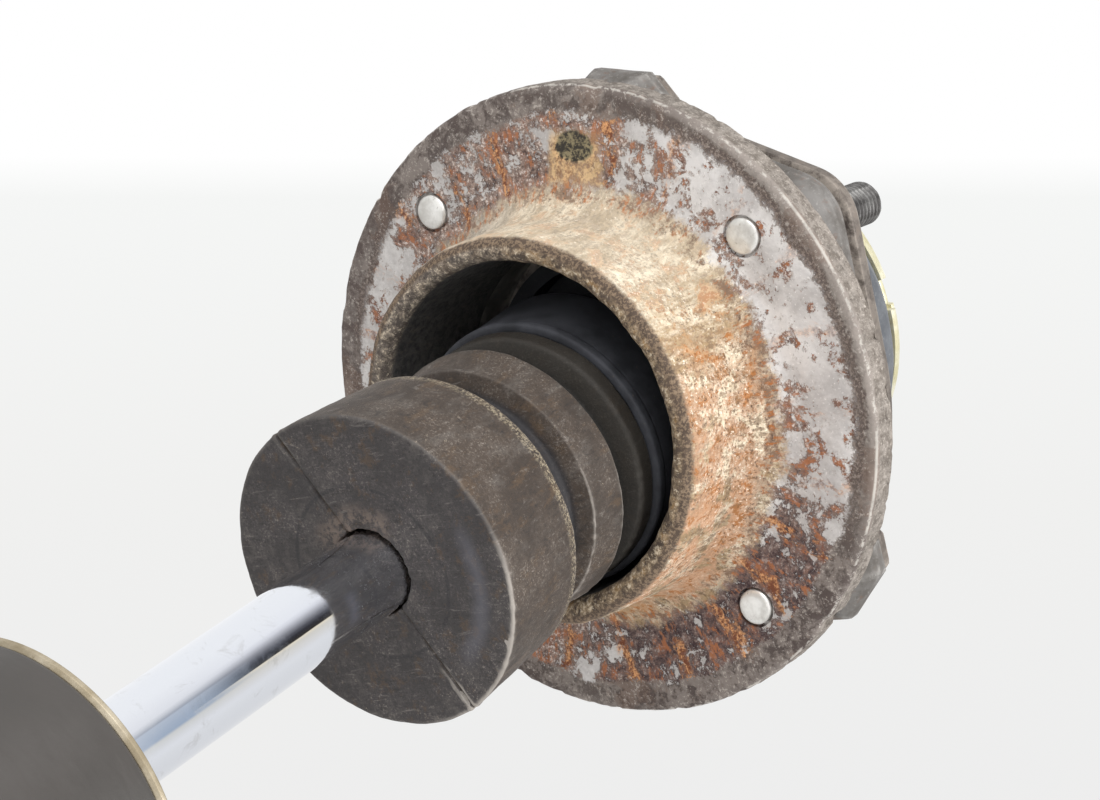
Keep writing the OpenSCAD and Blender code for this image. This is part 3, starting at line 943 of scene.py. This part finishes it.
def seat_outline():
    lip_round = LIP_WALL / 2
    fillet_mid = COLLAR_BORE + LIP_WALL + 0.3 + FILLET
    points = [(COLLAR_BORE, seat.high)]
    points += arc(COLLAR_BORE + lip_round, seat.low + lip_round, lip_round, 180, 360, 12)
    points += arc(fillet_mid, SEAT_FACE - FILLET, FILLET, 180, 90, 20)
    rim = [(seat.r - 6, SEAT_FACE), (seat.r, SEAT_FACE, 1.4), (seat.r, seat.high, 0.4)]
    points += rounded(rim + [(COLLAR_BORE + 3, seat.high)], 5)
    return refined(points, 0.7)


def seat_relief(p):
    """Cast waviness, flaking and an eaten lip."""
    depth = 0.11 * ripple(p, 7, 2) + 0.07 * ripple(p, 1.6, 4)
    lip = max(0, min(1, (seat.low + 3.5 - p.z) / 2.5))
    depth += lip * (0.3 * ripple(p, 6, 3) - 0.15)
    rim = max(0, min(1, (hypot(p.x, p.y) - seat.r + 2.2) / 1.5))
    chips = max(0, ripple((p.x, p.y, 30), 3.2, 3) - 0.15)
    return min(depth, 0.12) - rim * 0.9 * chips


def rivet_cutter():
    outline = pipe(0, POCKET_R, SEAT_FACE - 3, SEAT_FACE + POCKET_DEPTH)
    return around(turned(outline, 48), RIVET_ANGLES, RIVET_RING)


stand_for("spring_seat", turned(seat_outline(), 420), IN_MOUNT, 38, seat_relief, rivet_cutter())


def rivet():
    rivets = Extent("seat_rivets", IN_MOUNT)
    head = [(0, 0), (1.2, 0.03), (2.2, 0.12), (2.85, 0.3), (3.12, 0.5), (RIVET_R, 0.75)]
    under, shank_r = SEAT_FACE + POCKET_DEPTH, 2.1
    outline = [(r, rivets.low + z) for r, z in head] + [(RIVET_R, under)]
    outline += [(shank_r, under), (shank_r, rivets.high), (0, rivets.high)]
    return turned(refined(outline, 0.35, closed=False), 48)


rivets_in_place = around(rivet(), RIVET_ANGLES, RIVET_RING)
stand_for("seat_rivets", rivets_in_place, IN_MOUNT, 50, skin(0.06, 1.8, 2, 0.02))


def ear(off, disc_r, base_r):
    """Reach of the hull of a base circle and a disc on the stud circle, off radians from it."""
    flank = acos((base_r - disc_r) / STUD_RING)
    nose = atan2(disc_r * sin(flank), STUD_RING + disc_r * cos(flank))
    if off < nose:
        side = STUD_RING * sin(off)
        return STUD_RING * cos(off) + sqrt(disc_r**2 - side**2)
    return base_r / cos(flank - off) if off < flank else base_r


def lobe(off, disc_r, base_r):
    """Reach of a base circle and a square tab with cut corners."""
    if off > TAB_SPAN:
        return base_r
    outer, half = STUD_RING + disc_r - 1, disc_r - 2.5
    across, along = sin(off), cos(off)
    flat = min(outer / along, (outer + half - CUT_CORNER) / (along + across))
    return max(base_r, min(flat, half / max(across, 1e-6)))


def reach(angle, stud_r, lobe_r, base_r):
    """How far the casting or its plate reaches at an angle."""
    ears = [ear(radians(apart(angle, a)), stud_r, base_r) for a in STUD_ANGLES]
    return max(ears + [lobe(radians(apart(angle, a)), lobe_r, base_r) for a in LOBE_ANGLES])


CASTING_R = 51.2
BOSS_R = 10.5
LOBE_R = 12
CASTING_BORE = 30.5
PLATE_BORE = 27.2


def casting_profile(angle):
    low, high = casting.low, casting.high

    def at(inset):
        return reach(angle, BOSS_R - inset, LOBE_R - inset, CASTING_R - 0.3 * inset)

    below = [(2.6, 0), (1.6, 1.2), (0.5, 3), (0, 4.4)]
    above = [(0.1, 2.4), (0.5, 1.5), (1.6, 1), (2.2, 0)]
    points = [(CASTING_BORE, low)] + [(at(inset), low + up) for inset, up in below]
    points += [(at(inset), high - down) for inset, down in above] + [(CASTING_BORE, high)]
    return [q for p, after in zip(points, points[1:] + points[:1]) for q in divided(p, after, 3)]


stand_for("mount_body", turned(casting_profile, 480), IN_MOUNT, 34, skin(0.08, 7, 2, 0.05))


def plate_profile(angle):
    out = reach(angle, BOSS_R, BOSS_R, CASTING_R)
    edge = [(PLATE_BORE, 0), (out - 0.5, 0), (out - 0.1, 0.25), (out, 0.7)]
    return both_ends(edge, plate.low, plate.high)


stand_for("stud_plate", turned(plate_profile, 480), IN_MOUNT, 40)

stud = threaded(STUD_R, studs.low, studs.high, pitch=1.25, plain_to=1, root_r=4.4)
stand_for("mount_studs", around(stud, STUD_ANGLES, STUD_RING), IN_MOUNT, 60)

# ---- on the rod ----

bush_top = Extent("upper_bush")
CORE_R = 9
BALL_GAP_R = 30


def upper_bush_outline():
    low, high, r = bush_top.low, bush_top.high, bush_top.r
    first = degrees(acos(CORE_R / BALL_GAP_R))
    last = degrees(asin(low / BALL_GAP_R))
    points = arc(0, 0, BALL_GAP_R, first, last, 18)
    outside = [
        (r - 0.3, low, 1.6), (r - 0.15, low + 9, 0.8), (r - 0.6, low + 9.8, 0.5),
        (r, low + 10.8, 0.8), (r, high - 5.5, 3), (r - 3, high, 1), (CORE_R, high),
    ]
    points += rounded([(BALL_GAP_R, low), *outside])[5:]
    return points


bush_outline = refined(upper_bush_outline(), 2)
stand_for("upper_bush", turned(bush_outline, 160), sharp=40, relief=skin(0.08, 9, 2, 0.05))

washer = Extent("upper_washer")
WASHER_BORE = 5.05
NOTCH_ANGLES = (89, 179, 269, 359)
NOTCH_HALF = 4.9


def washer_profile(angle):
    low, high = washer.low, washer.high
    notched = any(apart(angle, a) < NOTCH_HALF for a in NOTCH_ANGLES)
    flange = 32.2 if notched else washer.r
    rim = 32.15 if notched else 33.2
    return [
        (WASHER_BORE, low), (flange - 0.4, low), (flange, low + 0.4), (flange, low + 1),
        (flange - 0.15, low + 1.4), (32.1, low + 1.45), (32, low + 3.4), (rim - 0.1, low + 3.5),
        (rim, low + 3.8), (rim, high - 0.5), (rim - 0.5, high), (30.9, high), (30.5, high - 0.4),
        (30.5, low + 2), (29.9, low + 1.4), (WASHER_BORE, low + 1.4),
    ]


stand_for("upper_washer", turned(washer_profile, spread(240, NOTCH_ANGLES, 5.2, 0.2)), sharp=40)

nut = Extent("top_nut")
stand_for("top_nut", hexagon(17, nut.low, nut.high, 5), sharp=25)

small = Extent("nut_washer")
small_outline = pipe(WASHER_BORE, small.r, small.low, small.high, (0, 0.2, 0.5, 0))
stand_for("nut_washer", turned(small_outline, 96))

rod = Extent("piston_rod")
ROD_R = 7
STEM_R = 5
rod_shoulder = Extent("bump_stop_cup").high - 2
rod_foot = Extent("compression_shims").high


def rod_profile(angle):
    points = [
        (0, rod.low), (STEM_R - 0.8, rod.low), (STEM_R, rod.low + 0.8), (STEM_R, rod_foot),
        (ROD_R - 0.5, rod_foot), (ROD_R, rod_foot + 0.5), (ROD_R, rod_shoulder - 0.4),
        (ROD_R - 0.4, rod_shoulder), (STEM_R, rod_shoulder),
    ]
    points += thread(angle, STEM_R, nut.high - 1, rod.high - 1, pitch=1.5, depth=0.85)
    tip = [(0.9, 0.9), (1.4, 0.3), (2.2, 0)]
    points += [(STEM_R - inset, rod.high - down) for inset, down in tip]
    return points + [(0, rod.high)]


stand_for("piston_rod", turned(rod_profile, 128), sharp=30)

cup = Extent("bump_stop_cup")


def cup_outline():
    low, high = cup.low, cup.high
    top_r, low_r, wall = 24.8, 24, 1.5
    corners = [
        (WASHER_BORE, high - 2), (top_r - wall - 0.1, high - 2, 0.8),
        (low_r - wall, low + 1.8, 0.5), (low_r - wall, low, 0.5), (low_r + 0.45, low, 0.9),
        (low_r + 0.35, low + 1.7, 0.7), (low_r + 0.12, low + 2.4, 0.5), (top_r, high, 1.6),
        (WASHER_BORE, high),
    ]
    return rounded(corners)


stand_for("bump_stop_cup", turned(cup_outline(), 160), sharp=40)

stop = Extent("bump_stop")
SEAM_ANGLE = radians(-23.5)
SEAM_OFFSET = -0.58
STOP_BORE = 7.4


def stop_outline():
    low, high, r = stop.low, stop.high, stop.r
    corners = [
        (STOP_BORE, low, 0.4), (r, low, 0.7), (r - 1.3, low + 20.4, 0.6), (19.2, low + 24.4, 1.2),
        (19, low + 26, 1), (19.2, low + 29.2, 1), (22.7, low + 30.8, 0.6),
        (23.6, low + 38.4, 0.7), (19.3, low + 41, 1), (19.1, low + 43.4, 1),
        (23.1, low + 45.2, 1.3), (23.2, low + 48.6, 0.5), (22, low + 49), (22, high),
        (STOP_BORE, high),
    ]
    return refined(rounded(corners, 6), 0.75)


def stop_relief(p):
    """Uneven skin, the mould's parting line over face and sides, and torn flash at the bore."""
    r = hypot(p.x, p.y)
    depth = 0.14 * ripple(p, 8, 2) + 0.05 * ripple(p, 1.4, 3)
    across = abs(-p.x * sin(SEAM_ANGLE) + p.y * cos(SEAM_ANGLE) - SEAM_OFFSET)
    if p.z < stop.low + 1.5:
        tear = 0.75 + 0.5 * ripple(p, 3, 2)
        depth -= 0.55 * tear * exp(-((across / 0.3) ** 2))
        depth += 0.16 * tear * exp(-(((across - 0.85) / 0.4) ** 2))
        depth -= 0.14 * exp(-(((r - 10.4) / 0.45) ** 2)) * (0.8 + ripple(p, 4, 2))
        depth += 0.25 * max(0, 1 - (r - STOP_BORE) / 1.6) * ripple(p, 1.2, 3)
    elif r > 20:
        depth += 0.14 * exp(-((across / 0.35) ** 2))
    return min(depth, 0.3)


seam_ends = (degrees(SEAM_ANGLE) % 360, (degrees(SEAM_ANGLE) + 180) % 360)
stop_mesh = turned(stop_outline(), spread(300, seam_ends, 5, 0.35))
bump_stop = stand_for("bump_stop", stop_mesh, sharp=50, relief=stop_relief)

# ---- damper ----

tube = Extent("damper_tube")
strike = Extent("strike_plate")
base = Extent("base_cap")
TUBE_BORE = 23
STRIKE_BORE = 8.5

wall = pipe(TUBE_BORE, tube.r, tube.low, tube.high, (0, 0, 0.9, 0))
stand_for("damper_tube", turned(refined(wall, 5), 160))

strike_corners = [
    (STRIKE_BORE, strike.low), (strike.r - 0.5, strike.low, 0.3), (strike.r, strike.low + 0.6, 0.3),
    (strike.r, strike.high, 0.7), (strike.r - 2.6, strike.high, 0.6),
    (strike.r - 3.4, strike.high - 0.4, 0.6), (12.5, strike.high - 0.4, 0.6),
    (11.6, strike.high, 0.5), (STRIKE_BORE, strike.high, 0.4),
]
stand_for("strike_plate", turned(rounded(strike_corners), 160), look=LOOKS["dull_zinc"])


def base_profile(angle):
    """The cap with the weld bead that joins it to the tube."""
    low, high, r = base.low, base.high, base.r
    seam = tube.low
    bead = 0.9 + 0.25 * cos(radians(angle) * 40)
    end = [(0, low), (r - 3, low), (r - 1, low + 0.5), (r - 0.2, low + 1.6), (r, low + 2.8)]
    bulge = [(bead * sin(pi * k / 6), 4 * k / 6) for k in range(1, 6)]
    weld = [(r + out, seam - 2 + up) for out, up in bulge]
    inside = [(r - 0.4, seam + 0.2), (TUBE_BORE, seam + 0.2), (TUBE_BORE, high), (0, high)]
    return end + [(r, seam - 2), *weld, (r - 0.2, seam + 2), *inside]


stand_for("base_cap", turned(base_profile, 320), sharp=45, relief=skin(0.05, 2, 2))

perch = Extent("spring_perch")


def perch_outline():
    seat_z = perch.high - 8
    rim_z = perch.high - 2
    t, step_r, r, in_r = 2.5, 42, perch.r, tube.r
    corners = [
        (in_r, perch.low), (in_r + t, perch.low, 0.8), (in_r + t, perch.high - t, 2),
        (step_r - t, perch.high - t, 1.5), (step_r - t, seat_z - t, 3.5), (r, seat_z - t, 4),
        (r, rim_z, 1.1), (r - t, rim_z, 1.1), (r - t, seat_z, 1.8), (step_r, seat_z, 1.2),
        (step_r, perch.high, 3.5), (in_r, perch.high, 0.6),
    ]
    return rounded(corners, 5)


def drain_holes():
    outline = pipe(0, 2.5, perch.high - 14, perch.high - 3)
    return around(turned(outline, 32), (30, 150, 270), 50)


stand_for("spring_perch", turned(refined(perch_outline(), 3), 200), sharp=40, cut=drain_holes())

# ---- lower eye ----

eye_low, eye_high = (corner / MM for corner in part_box("lower_eye"))
EYE_R = (eye_high.x - eye_low.x) / 2
EYE_Z = eye_low.z + EYE_R
EYE_HALF = eye_high.y
EYE_BORE = 17.5
ALONG_Y = Matrix.Translation((0, 0, EYE_Z)) @ Matrix.Rotation(pi / 2, 4, "X")


def across_rod(outline):
    """An outline turned about the lower eye's axis."""
    return moved(turned(outline, 96), ALONG_Y)


def eye_relief(p):
    """Rough outside, and a true bore."""
    off_bore = abs(hypot(p.x, p.z - EYE_Z) - EYE_BORE)
    return 0.05 * ripple(p, 4, 3) if off_bore > 0.3 else 0


def forged_eye():
    """Ring and neck run into each other."""
    ring = across_rod(pipe(0, EYE_R, -EYE_HALF, EYE_HALF))
    neck = block(13, EYE_HALF - 0.3, EYE_Z, eye_high.z + 1)
    obj = mesh_object("lower_eye_detail", joined(ring, neck))
    remesh = obj.modifiers.new("merge", "REMESH")
    remesh.mode, remesh.voxel_size = "VOXEL", 0.8
    smooth = obj.modifiers.new("soften", "SMOOTH")
    smooth.factor, smooth.iterations = 0.5, 10
    apply_modifiers(obj)
    clear = 60
    cut_away(obj, block(clear, clear, eye_high.z, eye_high.z + 20))
    cut_away(obj, across_rod(pipe(0, EYE_BORE, -clear, clear)))
    roughen(obj, eye_relief)
    return obj


settle(forged_eye(), "lower_eye", sharp=45)

rubber_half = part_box("lower_bush_rubber")[1].y / MM
sleeve_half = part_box("lower_sleeve")[1].y / MM
SHELL_IN = 15.7
SLEEVE_R = 10
BOLT_R = 6.1

shell = pipe(SHELL_IN, EYE_BORE, -EYE_HALF, EYE_HALF, (0, 0.5, 0.5, 0.3))
stand_for("lower_bush_shell", across_rod(shell))

inner = SLEEVE_R + 0.05
hollow = [(inner + (SHELL_IN - inner) * k / 10, 1.6 * sin(pi * k / 10)) for k in range(11)]
rubber = both_ends(hollow, -rubber_half, rubber_half)
stand_for("lower_bush_rubber", across_rod(rubber), sharp=50)

sleeve = pipe(BOLT_R, SLEEVE_R, -sleeve_half, sleeve_half, (0.6, 0.7, 0.7, 0.6))
stand_for("lower_sleeve", across_rod(sleeve))

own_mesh(bump_stop)

# ---- floor, light and camera ----

scene = bpy.context.scene
CAMERA_PLACE = Vector((-0.11165, -0.27535, -0.37403))
CAMERA_FORWARD = Vector((0.22943, 0.60618, 0.76152)).normalized()
CAMERA_RIGHT = CAMERA_FORWARD.cross(Vector((-0.92631, -0.10423, 0.36205))).normalized()
CAMERA_UP = CAMERA_RIGHT.cross(CAMERA_FORWARD)
LOOKS_DOWN = radians(4.9)
STUDIO_UP = CAMERA_UP * cos(LOOKS_DOWN) - CAMERA_FORWARD * sin(LOOKS_DOWN)
ROD_LOWER_SIDE = Vector((CAMERA_FORWARD.y, -CAMERA_FORWARD.x, 0)).normalized()
FLOOR_HALF = 3


def add_floor():
    look = Look("pale_floor", roughness=0.6, specular=0.3)
    grain = noise_at(look.here(), 30, 4)
    look.done(tones(grain, 0.3, 0.7, "eeeeee", "f1f1f1"), normal=bump(grain, 0.05, 0.2))
    corners = [(x * FLOOR_HALF, y * FLOOR_HALF, cad_box[0].z) for x, y in SQUARE]
    mesh = bpy.data.meshes.new("floor")
    mesh.from_pydata(corners, [], [(0, 1, 2, 3)])
    mesh.materials.append(look.material)
    floor = bpy.data.objects.new("floor", mesh)
    scene.collection.objects.link(floor)


SKY = [(0, "dadadb"), (0.37, "ededed"), (0.44, "f0f0ef"), (0.499, "f5f6f5"), (0.501, "ffffff")]
DARK_STRIP = [
    (0, "ffffff"), (0.27, "fafafc"), (0.35, "e4e4e8"), (0.42, "c0c0c5"), (0.5, "909095"),
    (0.58, "5c5c62"), (0.65, "36353a"), (0.735, "37332f"), (0.75, "f6ebd3"), (0.8, "e2ddd2"),
    (1, "eeeef0"),
]
BLUE_STRIP = [
    (0, "ffffff"), (0.35, "f0f0f2"), (0.43, "d4d6da"), (0.5, "a9aeb8"), (0.53, "bfc8d4"),
    (0.8, "a6b4c6"), (0.85, "dcdbd6"), (1, "eeeef0"),
]


def add_world():
    """A pale studio, white above the photograph's horizon and pale grey below it.

    A gap on the near side is what the chromed rod reflects as its dark and blue lines.
    """
    world = bpy.data.worlds.new("studio")
    scene.world = world
    world.use_nodes = True
    tree = world.node_tree
    toward = vector("NORMALIZE", add_node("TexCoord", tree=tree).outputs["Generated"])
    shade = ramp(plus(times(dot(toward, STUDIO_UP), 0.5), 0.5), *SKY)
    height = split(toward)[2]
    near_side = window(dot(toward, -CAMERA_FORWARD * Vector((1, 1, 0))), 0.1, 0.3)
    gap = times(near_side, band(height, 0.6, 0.71, 0.03))
    across = plus(times(dot(toward, ROD_LOWER_SIDE), 0.7), 0.5)
    strips = mix(window(height, 0.634, 0.66), ramp(across, *BLUE_STRIP), ramp(across, *DARK_STRIP))
    fill(tree.nodes["Background"], {"Color": mix(gap, shade, strips), "Strength": 1})


def add_light(name, right, up, back, size, power):
    """A soft light placed from the camera's point of view, aimed at the spring seat."""
    place = CAMERA_RIGHT * right + CAMERA_UP * up - CAMERA_FORWARD * back
    lamp = bpy.data.lights.new(name, "AREA")
    lamp.shape, lamp.size, lamp.energy = "SQUARE", size, power
    obj = bpy.data.objects.new(name, lamp)
    obj.location = place
    obj.rotation_mode = "QUATERNION"
    obj.rotation_quaternion = (-place).to_track_quat("-Z", "Y")
    obj.visible_camera = False
    scene.collection.objects.link(obj)


def add_camera():
    """The photograph's view: from below and in front, looking up at the spring seat."""
    data = bpy.data.cameras.new("camera")
    data.sensor_width, data.lens = 36, 85.09
    data.clip_start, data.clip_end = 0.01, 50
    camera = bpy.data.objects.new("camera", data)
    camera.matrix_world = (
        Matrix.Translation(CAMERA_PLACE)
        @ Matrix((CAMERA_RIGHT, CAMERA_UP, -CAMERA_FORWARD)).transposed().to_4x4()
    )
    scene.collection.objects.link(camera)
    scene.camera = camera


add_floor()
add_world()
add_light("right", 0.9, -0.2, 0.35, 0.5, 6.5)
add_light("front", 0.1, 0.4, 0.45, 0.4, 2.2)
add_camera()
scene.view_settings.view_transform = "Standard"
